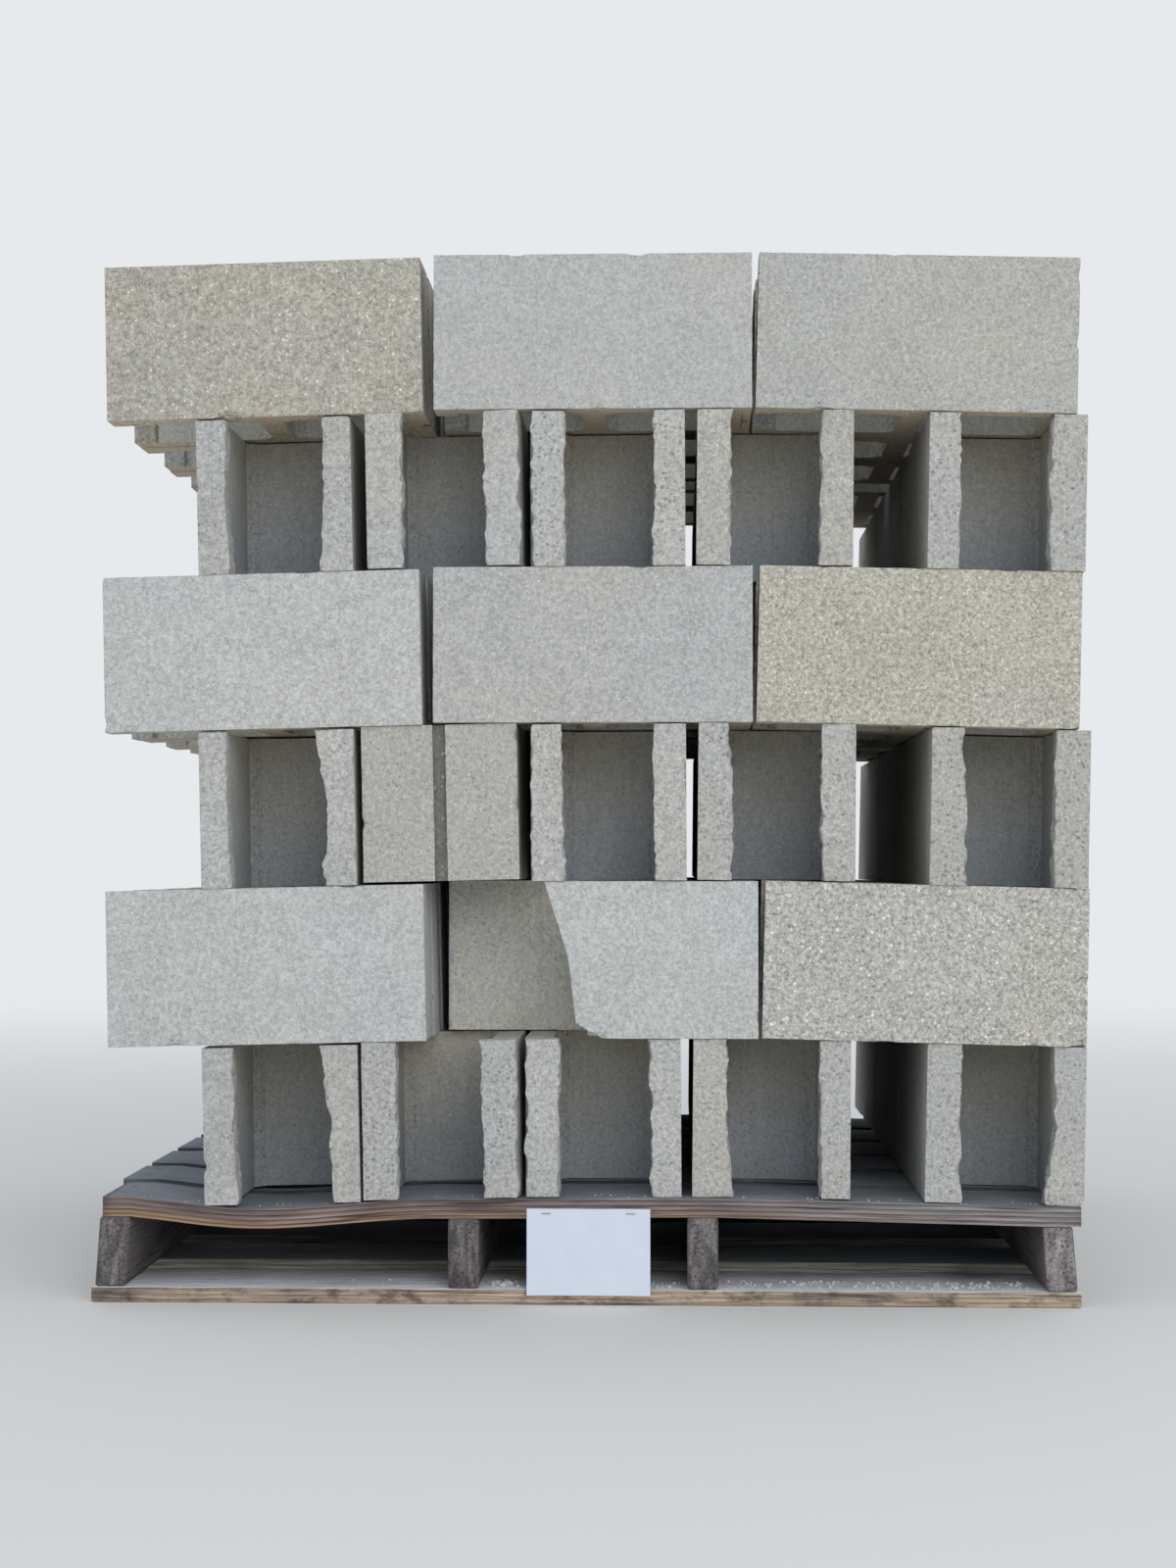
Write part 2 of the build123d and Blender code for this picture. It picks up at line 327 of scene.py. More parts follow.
WOOD_GRAIN = wood_grain_group()
STREAKS = (0.32, 0.68, 0.55, 1.40)


def wood_material(name, turn, tones, waviness=1.0, spacing=0.0042, lines_share=0.55,
                  dust_and_painted_skylight=(0.25, 0.285, 0.33), glow=None, end_grain=None, dark_patches=0.0):
    """Weathered pallet wood: growth lines and cracks, tops with dust and painted bluish skylight, warm low
    edges, sawn ends.
    """
    material, tree, shader = new_material(name)
    pale, body, dark = tones
    place = object_place(tree)
    wave = add_node(tree, "ShaderNodeAttribute", attribute_name="wave").outputs["Fac"]
    sunk = add_node(tree, "ShaderNodeCombineXYZ", inputs={2: wave}).outputs[0]
    level = add_node(tree, "ShaderNodeVectorMath", operation="SUBTRACT", inputs={0: place, 1: sunk})
    level = level.outputs[0]
    turned = add_node(tree, "ShaderNodeMapping", inputs={"Vector": level, "Rotation": turn})
    grain = add_node(tree, "ShaderNodeGroup", node_tree=WOOD_GRAIN, inputs={
        "Vector": turned.outputs[0], "Line Spacing": spacing, "Waviness": waviness}).outputs
    colour = ramp(tree, grain["Stain"], (0.30, dark), (0.47, body), (0.72, pale))
    streaks = stretch_range(tree, grain["Fibres"], *STREAKS)
    if glow is not None:
        warm, bleached, glow_low, glow_high = glow
        patchy = noise(tree, place, (5.0, 5.0, 60.0), 3.0, 0.6)
        low = times(tree, stretch_range(tree, parts_of(tree, level)[2], glow_low, glow_high, 1.0, 0.0),
                    stretch_range(tree, patchy, 0.36, 0.56))
        across = parts_of(tree, place)[0]
        low = times(tree, low, stretch_range(tree, across, -0.1, 0.3, 1.0, 0.25))
        rightward = stretch_range(tree, across, -0.1, 0.45, 0.0, 0.8)
        colour = blend_colours(tree, rightward, colour, bleached)
        colour = blend_colours(tree, low, colour, warm)
    colour = tinted(tree, colour, streaks)
    # Random dark patches over the board.
    if dark_patches:
        marks = stretch_range(tree, noise(tree, place, (34.0, 34.0, 55.0), 4.0, 0.65), 0.50, 0.68)
        colour = blend_colours(tree, times(tree, marks, dark_patches), colour, dark)
    lines = times(tree, grain["Lines"], lines_share)
    colour = blend_colours(tree, lines, colour, dark)
    facing = parts_of(tree, add_node(tree, "ShaderNodeNewGeometry").outputs["Normal"])
    if end_grain is not None:
        rings = noise(tree, place, (60.0, 8.0, 16.0), 3.0, 0.6, 0.8)
        specks = stretch_range(tree, noise(tree, place, 330.0, 3.0, 0.7), *STREAKS)
        sawn = tinted(tree, ramp(tree, rings, *zip((0.36, 0.50, 0.66), end_grain)), specks)
        endward = stretch_range(tree, maths(tree, "ABSOLUTE", facing[1]), 0.55, 0.85)
        colour = blend_colours(tree, endward, colour, sawn)
    colour = blend_colours(tree, times(tree, grain["Cracks"], 0.8), colour, dark)
    # Upward faces take a bluish colour that is partly dust and partly painted skylight; on the front bottom
    # board it is also painted light that lifts its top in the shaded bay.
    dust_and_painted_skylight_share = times(tree, stretch_range(tree, facing[2], 0.55, 0.9), 0.88)
    dust_and_painted_skylight = blend_colours(tree, times(tree, lines, 0.3), tinted(tree, dust_and_painted_skylight, streaks), dark)
    relief = {"Height": grain["Height"], "Strength": 0.55, "Distance": 0.0012}
    set_inputs(tree, shader, {
        "Base Color": blend_colours(tree, dust_and_painted_skylight_share, colour, dust_and_painted_skylight),
        "Roughness": stretch_range(tree, grain["Fibres"], 0.2, 0.8, 0.78, 0.95),
        "Normal": add_node(tree, "ShaderNodeBump", inputs=relief).outputs[0],
        "Specular IOR Level": 0.25,
    })
    return material


ALONG_X = (0.0, 0.0, 0.0)
# The front bottom board's bright top colour is painted light: it lifts the top, which lies in the shaded
# bay.
FRESH_BOARD = wood_material(
    "tan_lead_board", ALONG_X, ((0.64, 0.50, 0.36), (0.44, 0.345, 0.26), (0.085, 0.062, 0.055)),
    waviness=0.5, spacing=0.0065, lines_share=0.5, dust_and_painted_skylight=(0.74, 0.78, 0.83), dark_patches=0.8)
PALE_BOARD = wood_material(
    "pale_board", ALONG_X, ((0.62, 0.61, 0.55), (0.44, 0.42, 0.37), (0.14, 0.13, 0.12)),
    waviness=0.5, spacing=0.0065, lines_share=0.6, dust_and_painted_skylight=(0.20, 0.24, 0.28))
DIM_BOARD = wood_material(
    "dim_board", ALONG_X, ((0.27, 0.26, 0.25), (0.17, 0.165, 0.16), (0.06, 0.056, 0.055)),
    waviness=0.5, spacing=0.0065, lines_share=0.6, dust_and_painted_skylight=(0.11, 0.13, 0.15))

for number, wood in enumerate((FRESH_BOARD, PALE_BOARD, DIM_BOARD, DIM_BOARD, DIM_BOARD), start=1):
    sawn_plank(f"bottom_board_{number}", 0, 10 + number, wood)


# Stringers. Four planks on edge, running from front to back between the bottom boards and the
# deck, which is nailed to them. Their sawn ends face the front, grey-brown and rubbed, the right
# one's paler than the others'.

ALONG_Y = (0.0, 0.0, math.radians(90))
STRINGER_EDGE = 0.005
STRINGER_TONES = ((0.255, 0.235, 0.235), (0.165, 0.15, 0.155), (0.06, 0.05, 0.05))
SAWN_END = ((0.085, 0.075, 0.078), (0.150, 0.136, 0.138), (0.24, 0.218, 0.21))
PALE_END = ((0.18, 0.155, 0.155), (0.28, 0.25, 0.25), (0.38, 0.345, 0.34))
STRINGER_WOOD, BLEACHED_STRINGER = (
    wood_material(name, ALONG_Y, STRINGER_TONES, waviness=1.6, spacing=0.0035, lines_share=0.4,
                  end_grain=end)
    for name, end in (("stringer_wood", SAWN_END), ("bleached_stringer_wood", PALE_END)))

for number in range(1, 5):
    wood = BLEACHED_STRINGER if number == 4 else STRINGER_WOOD
    sawn_plank(f"stringer_{number}", 1, 20 + number, wood, STRINGER_EDGE)


# Deck boards. Six planks nailed across the stringers to carry the blocks. They have sagged between
# the two left stringers, and long growth lines follow the wave of the front one, the lead board.

DECK_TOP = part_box("deck_board_1")[1].z
WARM_EDGE = (0.44, 0.27, 0.15)
BLEACHED_EDGE = (0.30, 0.288, 0.30)
LOW_EDGE = (WARM_EDGE, BLEACHED_EDGE, DECK_TOP - 0.021, DECK_TOP - 0.011)
LEAD_BOARD = wood_material(
    "brown_lead_board", ALONG_X, ((0.34, 0.265, 0.235), (0.20, 0.155, 0.145), (0.045, 0.028, 0.026)),
    waviness=0.16, spacing=0.0060, lines_share=0.80, glow=LOW_EDGE)
OLD_BOARD = wood_material(
    "grey_board", ALONG_X, ((0.20, 0.21, 0.225), (0.115, 0.12, 0.13), (0.05, 0.05, 0.055)))

for number in range(1, 7):
    sawn_plank(f"deck_board_{number}", 0, 30 + number, LEAD_BOARD if number == 1 else OLD_BOARD)


# Paper tag. A blank sheet that is stapled to the lead deck board's edge and hangs in front of the
# middle bay. It is thin, and it curls a little away from the wood at its lower corners.

TAG_COLUMNS = 24
TAG_ROWS = 18
TAG_CURL = 0.0022
TAG_WAVE = 0.0006
TAG_SETBACK = 0.0003
TAG_THICKNESS = 0.0003


def made_plain(piece):
    """The piece with its modifiers' result as its mesh, and no modifier left."""
    graph = bpy.context.evaluated_depsgraph_get()
    result = bpy.data.meshes.new_from_object(piece.evaluated_get(graph))
    piece.modifiers.clear()
    piece.data = result
    return piece


def hanging_sheet(node):
    """A thin sheet in place of its node, curled forward at its lower corners."""
    low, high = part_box(node)
    sheet = bmesh.new()
    bmesh.ops.create_grid(sheet, x_segments=TAG_COLUMNS, y_segments=TAG_ROWS, size=0.5)
    width, height = high.x - low.x, high.z - low.z
    middle = (low.x + high.x) / 2
    for vert in sheet.verts:
        across, up = vert.co.x, vert.co.y + 0.5
        curl = TAG_CURL * (1 - up) ** 2 * (0.4 + 2.4 * across * across)
        wave = TAG_WAVE * math.sin(across * 9 + up * 4)
        forward = high.y - TAG_SETBACK - curl - abs(wave)
        vert.co = (middle + across * width, forward, low.z + up * height)
    piece = placed("hung_paper_tag", mesh_from(sheet, "hung_paper_tag"))
    thick = piece.modifiers.new("thickness", "SOLIDIFY")
    thick.thickness = TAG_THICKNESS
    thick.offset = 0.0
    return made_plain(piece)


def flecked_material(name, scale, detail, dark, pale, roughness, metallic=0.0):
    """A dull material that varies in flecks between two tones."""
    material, tree, shader = new_material(name)
    flecks = noise(tree, object_place(tree), scale, detail)
    colour = ramp(tree, flecks, (0.35, dark), (0.65, pale))
    set_inputs(tree, shader, {"Base Color": colour, "Roughness": roughness, "Metallic": metallic})
    return material


PAPER = flecked_material("tag_paper", 30.0, 4.0, (0.70, 0.755, 0.86), (0.72, 0.775, 0.875), 0.7)
finish_piece(hanging_sheet("paper_tag"), ["paper_tag"], "paper", PAPER)


# Concrete blocks. Each is one piece of grey concrete, pressed in a mould: open at one end, where
# the end web has been knocked out and left two ragged stubs, with a closed cell at the other. They
# lie loose, in courses that cross each other, with chipped edges and faces of differing grain.

BLOCK_LENGTH = 0.397
BLOCK_WIDTH = 0.194
BLOCK_HEIGHT = 0.194
HALF_WIDTH = BLOCK_WIDTH / 2
CELL_HALF = 0.128 / 2
STUB_LENGTH = 0.028
CELLS_END = 0.368


def loose_parts(copy):
    """The separate solids of a bmesh, each as its own bmesh, in order of their places."""
    parts = []
    group_of = {}
    for start in copy.verts:
        if start in group_of:
            continue
        part = bmesh.new()
        waiting = [start]
        group_of[start] = part
        while waiting:
            for edge in waiting.pop().link_edges:
                for vert in edge.verts:
                    if vert not in group_of:
                        group_of[vert] = part
                        waiting.append(vert)
        parts.append(part)
    made = {vert: group_of[vert].verts.new(vert.co) for vert in copy.verts}
    for face in copy.faces:
        group_of[face.verts[0]].faces.new([made[vert] for vert in face.verts])
    return sorted(parts, key=lambda part: min(vert.co.x + vert.co.y for vert in part.verts))


def block_frame(part, lies_along_y, turned_round):
    """The matrix from a block's own frame (x from its open end, z from its foot) to the load."""
    foot = min(part.faces, key=lambda face: (round(face.normal.z, 2), face.calc_center_median().z))
    foot.normal_update()
    down = foot.normal.normalized()
    tilt = Matrix.Rotation(math.atan2(-down.x, -down.z), 4, "Y")
    level = [tilt.inverted() @ vert.co for vert in part.verts]
    low = Vector([min(place[axis] for place in level) for axis in range(3)])
    high = Vector([max(place[axis] for place in level) for axis in range(3)])
    middle = (low + high) / 2
    if not lies_along_y:
        return tilt @ Matrix.Translation((low.x, middle.y, low.z))
    turn = math.radians(-90 if turned_round else 90)
    start_y = high.y if turned_round else low.y
    return tilt @ Matrix.Translation((middle.x, start_y, low.z)) @ Matrix.Rotation(turn, 4, "Z")


MOUTH_SLACK = 0.000004
MOUTH_BACK = 0.0312
MOUTH_RIM = 0.001
MOUTH_OVERSHOOT = 0.01
SKIN_SPAN = 0.0004


def mouth_cutter(skin):
    """A prism through a block's thin skin at its open end, as wide as the gap between the stubs."""
    cutter = bmesh.new()
    near, far = [], []
    for vert in skin.verts:
        height = vert.co.z
        if height < MOUTH_RIM:
            height = -MOUTH_OVERSHOOT
        elif height > BLOCK_HEIGHT - MOUTH_RIM:
            height = BLOCK_HEIGHT + MOUTH_OVERSHOOT
        near.append(cutter.verts.new((vert.co.x - MOUTH_SLACK, vert.co.y, height)))
        far.append(cutter.verts.new((MOUTH_BACK, vert.co.y, height)))
    cutter.faces.new(near)
    cutter.faces.new(reversed(far))
    for number, corner in enumerate(near):
        cutter.faces.new((near[number - 1], corner, far[number], far[number - 1]))
    bmesh.ops.recalc_face_normals(cutter, faces=cutter.faces)
    return cutter


def open_mouth(part):
    """The block with the thin skin behind its stubs cut away, so that the open cell is open."""
    part.normal_update()
    skins = [face for face in part.faces
             if face.normal.x < -0.99 and abs(face.calc_center_median().x - STUB_LENGTH) < SKIN_SPAN]
    if not skins:
        return part
    cutter = mouth_cutter(max(skins, key=lambda face: face.calc_area()))
    shapes = (("closed_block", part), ("mouth", cutter))
    pair = [placed(name, mesh_from(shape, name)) for name, shape in shapes]
    cut = pair[0].modifiers.new("open", "BOOLEAN")
    cut.operation = "DIFFERENCE"
    cut.solver = "EXACT"
    cut.object = pair[1]
    graph = bpy.context.evaluated_depsgraph_get()
    result = bpy.data.meshes.new_from_object(pair[0].evaluated_get(graph))
    opened = bmesh.new()
    opened.from_mesh(result)
    for holder in pair:
        mesh = holder.data
        bpy.data.objects.remove(holder)
        bpy.data.meshes.remove(mesh)
    bpy.data.meshes.remove(result)
    dissolve_flat(opened)
    stray = [edge for edge in opened.edges if not edge.link_faces]
    bmesh.ops.delete(opened, geom=stray, context="EDGES")
    bmesh.ops.holes_fill(opened, edges=[edge for edge in opened.edges if edge.is_boundary], sides=4)
    return opened


def both_sides(*places):
    """The same places on both sides of a block's middle."""
    return [side * place for place in places for side in (-1, 1)]


CUTS_END_ON = (
    [0.003, 0.006, 0.010, 0.014, 0.019, 0.024, 0.031, *np.arange(0.055, 0.38, 0.025), 0.388, 0.393],
    both_sides(0.0935, 0.089, 0.080, 0.060, 0.056, 0.052, 0.048),
    list(np.linspace(0.004, 0.190, 47)),
)
CUTS_SIDE_ON = (
    [0.003, *np.arange(0.007, 0.392, 0.006), 0.394],
    both_sides(0.0935, 0.089, 0.080),
    [0.0035, *np.linspace(0.008, 0.186, 34), 0.1905],
)
CUTS_OUTER = (
    [0.004, *np.arange(0.012, 0.39, 0.012), 0.393],
    both_sides(0.093, 0.084),
    [0.004, *np.linspace(0.012, 0.182, 15), 0.190],
)


BLOCK_EDGE = 0.0013
BLOCK_SHARP_DEGREES = 35
CUT_SNAP = 0.0003


def gridded_mesh(part, cuts):
    """A block's mesh with softened edges, cut by planes so that its edges and ends can wear."""
    sharp = sharp_edges(part, BLOCK_SHARP_DEGREES)
    bmesh.ops.bevel(part, geom=sharp, offset=BLOCK_EDGE, segments=2, profile=0.5, affect="EDGES",
                    clamp_overlap=True)
    for axis, places in enumerate(cuts):
        for place in places:
            cut_across(part, axis, place, CUT_SNAP)
    bmesh.ops.triangulate(part, faces=[face for face in part.faces if len(face.verts) > 4])
    return mesh_from(part, "gridded_block")


def spread_along_edges(mesh, values):
    """Carries a mask outwards to the neighbouring vertices, where it is weaker."""
    ends = np.empty(len(mesh.edges) * 2, dtype=np.int64)
    mesh.edges.foreach_get("vertices", ends)
    first, second = ends.reshape(-1, 2).T
    spread = values.copy()
    np.maximum.at(spread, first, values[second] * 0.6)
    np.maximum.at(spread, second, values[first] * 0.6)
    return spread


CHIP_COUNT = 6
CHIP_SIZE = (0.004, 0.011)
CHIP_DEPTH = 0.38
LONG_EDGE_CHIPS = 0.6


def chip_centres(chance):
    """Random places on the long outer edges and the upright corners of a block."""
    corners = [(side * HALF_WIDTH, height) for height in (0.0, BLOCK_HEIGHT) for side in (-1, 1)]
    centres = []
    for _ in range(CHIP_COUNT):
        y, z = corners[chance.integers(4)]
        if chance.random() < LONG_EDGE_CHIPS:
            centres.append((chance.random() * BLOCK_LENGTH, y, z))
        else:
            centres.append((chance.choice((0.0, BLOCK_LENGTH)), y, chance.random() * BLOCK_HEIGHT))
    return np.array(centres)


STUB_REACHES = {
    (5, 1): ((6, 1, 8), (2, 0, 9)), (5, 2): ((12, 11, 10), (14, 13, 13)), (5, 3): ((11, 10, 11), (6, 5, 7)),
    (5, 4): ((9, 9, 9), (7, 7, 8)), (5, 5): ((6, 6, 6), (9, 12, 10)),
    (3, 1): ((1, 0, 6), (14, 0, 8)), (3, 3): ((7, 6, 10), (7, 6, 6)), (3, 4): ((4, 10, 8), (8, 8, 7)),
    (3, 5): ((4, 11, 10), (9, 9, 10)),
    (1, 1): ((6, 4, 9), (11, 3, 2)), (1, 2): ((10, 9, 9), (13, 12, 12)), (1, 3): ((11, 10, 10), (5, 3, 4)),
    (1, 4): ((9, 8, 17), (5, 4, 4)), (1, 5): ((9, 8, 10), (7, 1, 15)),
}
NO_STUBS = ((-4, -4, -4), (-4, -4, -4))
CELL_TAPER = math.tan(math.radians(0.4))
REACH_STEPS = 20
REACH_HEIGHTS = (0.012, 0.097, 0.182)
LEAST_REACH = 0.0025
STUB_OVERLAP = 0.0025
STUB_STANDS = (0.0016, 0.045)
STUB_LIMITS = (0.0004, 0.030)
BROAD_NOTCH, BROAD_NOTCH_SIZE = 0.0022, 0.019
FINE_NOTCH, FINE_NOTCH_SIZE = 0.0018, 0.0065


def serrated_stubs(points, reaches, seed):
    """Draws the two broken stubs to these reaches in millimetres, at head, middle and foot."""
    moved = points.copy()
    x, y, z = points.T
    level = np.clip((z / BLOCK_HEIGHT * REACH_STEPS).astype(int), 0, REACH_STEPS - 1)
    middles = (np.arange(REACH_STEPS) + 0.5) / REACH_STEPS * BLOCK_HEIGHT
    for side, (head, middle, foot) in zip((1, -1), reaches):
        stands_in = CELL_HALF - y * side
        on_stub = (stands_in > STUB_STANDS[0]) & (stands_in < STUB_STANDS[1])
        on_stub &= x < STUB_LENGTH + STUB_OVERLAP
        stands_in, height = stands_in[on_stub], z[on_stub]
        reach = np.full(REACH_STEPS, LEAST_REACH)
        np.maximum.at(reach, level[on_stub], stands_in)
        spots = np.column_stack([x[on_stub] * 0.6, np.full(len(height), side * 1.0), height])
        notches = BROAD_NOTCH * lattice_noise(spots, BROAD_NOTCH_SIZE, seed + 7)
        notches += FINE_NOTCH * lattice_noise(spots, FINE_NOTCH_SIZE, seed + 8)
        wanted = np.interp(height, REACH_HEIGHTS, (foot, middle, head)) / 1000 + notches
        share = np.clip(stands_in / np.interp(height, middles, reach), 0, 1)
        least = STUB_LIMITS[0] + height * CELL_TAPER
        moved[on_stub, 1] = side * (CELL_HALF - share * np.clip(wanted, least, STUB_LIMITS[1]))
    return moved


BREAK_FOOT = 0.209
BREAK_SPREAD = 0.012
FRONT_SHELL = -0.06
EDGE_WEAR = 0.0011
BROKEN_RELIEF = 0.0016
GROOVE_DEPTH = 0.012
GROOVE_HALF = 0.010
GROOVE_WIDENING = 1.3
RAGGED_DEPTH = 0.0065
RAGGED_REACH = 0.030
RAGGED_BAND = 0.02


def worn_block(part, cuts, seed, ragged_side, reaches, broken_block):
    """A block's mesh in its own frame, with rubbed edges, chips and rough broken faces."""
    mesh = gridded_mesh(part, cuts)
    chance = np.random.default_rng(seed)
    points = read_rows(mesh.vertices, "co")
    if reaches is not None:
        points = serrated_stubs(points, reaches, seed)
        write_points(mesh, points)
    in_groove = (points[:, 0] > BLOCK_LENGTH - GROOVE_DEPTH) & (np.abs(points[:, 1]) < GROOVE_HALF)
    points[in_groove, 1] *= GROOVE_WIDENING
    normals = read_rows(mesh.vertex_normals, "vector")
    x, y, z = points.T
    near_edge = spread_along_edges(mesh, np.clip((1 - np.abs(normals).max(axis=1)) / 0.08, 0, 1))
    in_web = (x < STUB_LENGTH + 0.004) & (np.abs(y) < CELL_HALF + 0.001)
    front = (x < 0.003) & (np.abs(y) < CELL_HALF + BREAK_SPREAD)
    broken = (in_web | front).astype(float)
    if broken_block:
        broken = np.maximum(broken, (np.abs(x - BREAK_FOOT) < 0.007) & (y < FRONT_SHELL))
    fine = lattice_noise(points, 0.006, seed)
    broad = lattice_noise(points, 0.022, seed + 1)
    nicks = np.clip(lattice_noise(points, 0.011, seed + 2) - 0.3, 0, 1)
    depth = near_edge * EDGE_WEAR * (0.25 + 0.5 * fine + 2.2 * nicks)
    depth += broken * BROKEN_RELIEF * (0.45 * fine + 0.9 * broad)
    moved = points - normals * depth[:, None]
    if ragged_side:
        along_edge = np.column_stack([x * 0.3, np.zeros(len(x)), z])
        crumbled = 0.55 + 0.6 * lattice_noise(along_edge, 0.024, seed + 3)
        crumbled += 0.35 * lattice_noise(along_edge, 0.009, seed + 4)
        near_side = np.clip((y * ragged_side - HALF_WIDTH + RAGGED_BAND) / RAGGED_BAND, 0, 1)
        near_end = np.clip(1 - x / RAGGED_REACH, 0, 1)
        moved[:, 1] -= ragged_side * RAGGED_DEPTH * np.clip(crumbled, 0, 1.2) * near_side * near_end
    centres = chip_centres(chance)
    sizes = chance.uniform(*CHIP_SIZE, CHIP_COUNT)
    for centre, size in zip(centres, sizes):
        away = moved - centre
        away[:, 0] *= 0.6
        distance = np.linalg.norm(away, axis=1)
        inside = distance < size
        towards = np.array([0.0, -np.sign(centre[1]), np.sign(BLOCK_HEIGHT / 2 - centre[2]) * 0.9])
        if centre[0] in (0.0, BLOCK_LENGTH):
            towards = np.array([1.0 if centre[0] == 0.0 else -1.0, -np.sign(centre[1]), 0.0])
        reach = (size - distance[inside]) * CHIP_DEPTH * (1 + 0.35 * fine[inside])
        moved[inside] += towards * reach[:, None]
    write_points(mesh, np.clip(moved, (0.0, -HALF_WIDTH, 0.0), (BLOCK_LENGTH, HALF_WIDTH, BLOCK_HEIGHT)))
    return mesh


SMOOTH, PALE, WARM, COARSE, SPECKED = range(5)
RANDOM_FINISHES = (SMOOTH, SMOOTH, SMOOTH, PALE, WARM, WARM, COARSE, SPECKED)
PLAIN_GRIT = 0.08
FRONT_BLOCKS = {
    (2, 1, 1): (PALE, 0.0, 0.18), (2, 1, 2): (PALE, 0.0, 0.20), (2, 1, 3): (SPECKED, 0.0, PLAIN_GRIT),
    (4, 1, 1): (PALE, 0.0, 0.20), (4, 1, 2): (SMOOTH, 0.0, 0.26), (4, 1, 3): (COARSE, 4.2, PLAIN_GRIT),
    (6, 1, 1): (COARSE, 0.0, PLAIN_GRIT), (6, 1, 2): (SMOOTH, 0.6, PLAIN_GRIT),
    (6, 1, 3): (WARM, 0.6, PLAIN_GRIT),
}
WARM_ENDS = ((5, 4), (5, 5), (3, 2), (3, 5), (1, 4))
RAGGED_SIDES = {2: -1, 3: 1}
TURNED_BLOCK = (3, 2, 1)
BROKEN_BLOCK = (2, 1, 2)


def cuts_for(course, line, place):
    """Finer meshes where the load is seen, and none for blocks that are deep inside it."""
    if course % 2:
        if place == 1:
            return CUTS_END_ON
        outer = line in (1, 5) or place == 3 or course == 1
        return CUTS_OUTER if outer else None
    if line == 1:
        return CUTS_SIDE_ON
    outer = line == 5 or place in (1, 3) or course == 6
    return CUTS_OUTER if outer else None


# Closed-end grooves are darkened through the block tone: painted shade.
GROOVE_PAINTED_SHADE = -21.0
GROOVE_SHADED = (0.0125, 0.0022)
OPEN_END_ROUGHNESS = 0.6
END_ZONE = 0.004
FLAT_AREA = 0.00036
WORN_FACING = 0.97
FLAT_ENOUGH = math.radians(1.6)
EVEN_COURSE_PAINTED_WARM_LIGHT = 0.8


def face_marks(face, tone, broken_block):
    """What a face is on its block: groove darkened with painted shade, cell, raw where the block broke, or
    rubbed.
    """
    x, y, _ = face.calc_center_median()
    level = abs(face.normal.z)
    stub = x < STUB_LENGTH + 0.003 and abs(y) < CELL_HALF + BREAK_SPREAD and level < 0.7
    if broken_block:
        at_break = y < FRONT_SHELL and abs(x - BREAK_FOOT) < 0.009 and face.calc_area() <= FLAT_AREA
        stub = y <= 0 and (stub or at_break)
    raw = stub or (x < END_ZONE and level < 0.7)
    in_cell = abs(y) < CELL_HALF + 0.002 and level < 0.5 and END_ZONE <= x < CELLS_END and not stub
    in_groove = abs(y) < 0.0095 and GROOVE_SHADED[0] > BLOCK_LENGTH - x > GROOVE_SHADED[1]
    return {
        "block_tone": GROOVE_PAINTED_SHADE if in_groove else tone,
        "cell_face": float(in_cell),
        "broken_face": OPEN_END_ROUGHNESS if raw else 0.0,
        "worn_face": float(max(map(abs, face.normal)) < WORN_FACING and not raw),
    }


def course_piece(node, course, line):
    """The three worn blocks of one node as one mesh, with what each face is written on it."""
    joined = bmesh.new()
    source = plain_copy(node)
    face_values = {}
    heights = []
    finishes = []
    end_course = course % 2 == 1
    for place, part in enumerate(loose_parts(source), start=1):
        block = (course, line, place)
        broken_block = block == BROKEN_BLOCK
        seed = 100 * course + 10 * line + place
        chance = np.random.default_rng(seed)
        own = block_frame(part, end_course, block == TURNED_BLOCK)
        part.transform(own.inverted())
        part = open_mouth(part)
        cuts = cuts_for(course, line, place)
        end_on = end_course and place == 1 and block != TURNED_BLOCK
        ragged = RAGGED_SIDES.get(line, 0) if end_on else 0
        reaches = STUB_REACHES[(course, line)] if end_on else None
        if broken_block:
            reaches = NO_STUBS
        if cuts is None:
            mesh = mesh_from(part, "plain_block")
        else:
            mesh = worn_block(part, cuts, seed, ragged, reaches, broken_block)
        plain = bmesh.new()
        plain.from_mesh(mesh)
        bpy.data.meshes.remove(mesh)
        bmesh.ops.dissolve_limit(plain, angle_limit=FLAT_ENOUGH, verts=plain.verts, edges=plain.edges)
        finish = int(chance.choice(RANDOM_FINISHES))
        tone = float(chance.normal(0.0, 1.0))
        if end_course and place == 1:
            finish = WARM if (course, line) in WARM_ENDS else SMOOTH
        finish, tone, grit = FRONT_BLOCKS.get(block, (finish, tone, PLAIN_GRIT))
        # Share of painted warm light in the cells: most in the broken block's hollow, some in even courses.
        warm = 1.0 if broken_block else 0.0 if end_course else EVEN_COURSE_PAINTED_WARM_LIGHT
        made = {vert: joined.verts.new(own @ vert.co) for vert in plain.verts}
        heights.extend(vert.co.z / BLOCK_HEIGHT for vert in plain.verts)
        for face in plain.faces:
            joined.faces.new([made[vert] for vert in face.verts])
            finishes.append(finish)
            marks = {"block_seed": seed, "block_grit": grit, "painted_warm_light_share": warm}
            marks.update(face_marks(face, tone, broken_block))
            for name, value in marks.items():
                face_values.setdefault(name, []).append(value)
        plain.free()
    source.free()
    mesh = mesh_from(joined, node + "_blocks")
    for name, values in face_values.items():
        write_values(mesh, name, "FACE", values)
    write_values(mesh, "block_height", "POINT", heights)
    mesh.polygons.foreach_set("material_index", finishes)
    mesh.update()
    return placed(node + "_blocks", mesh)


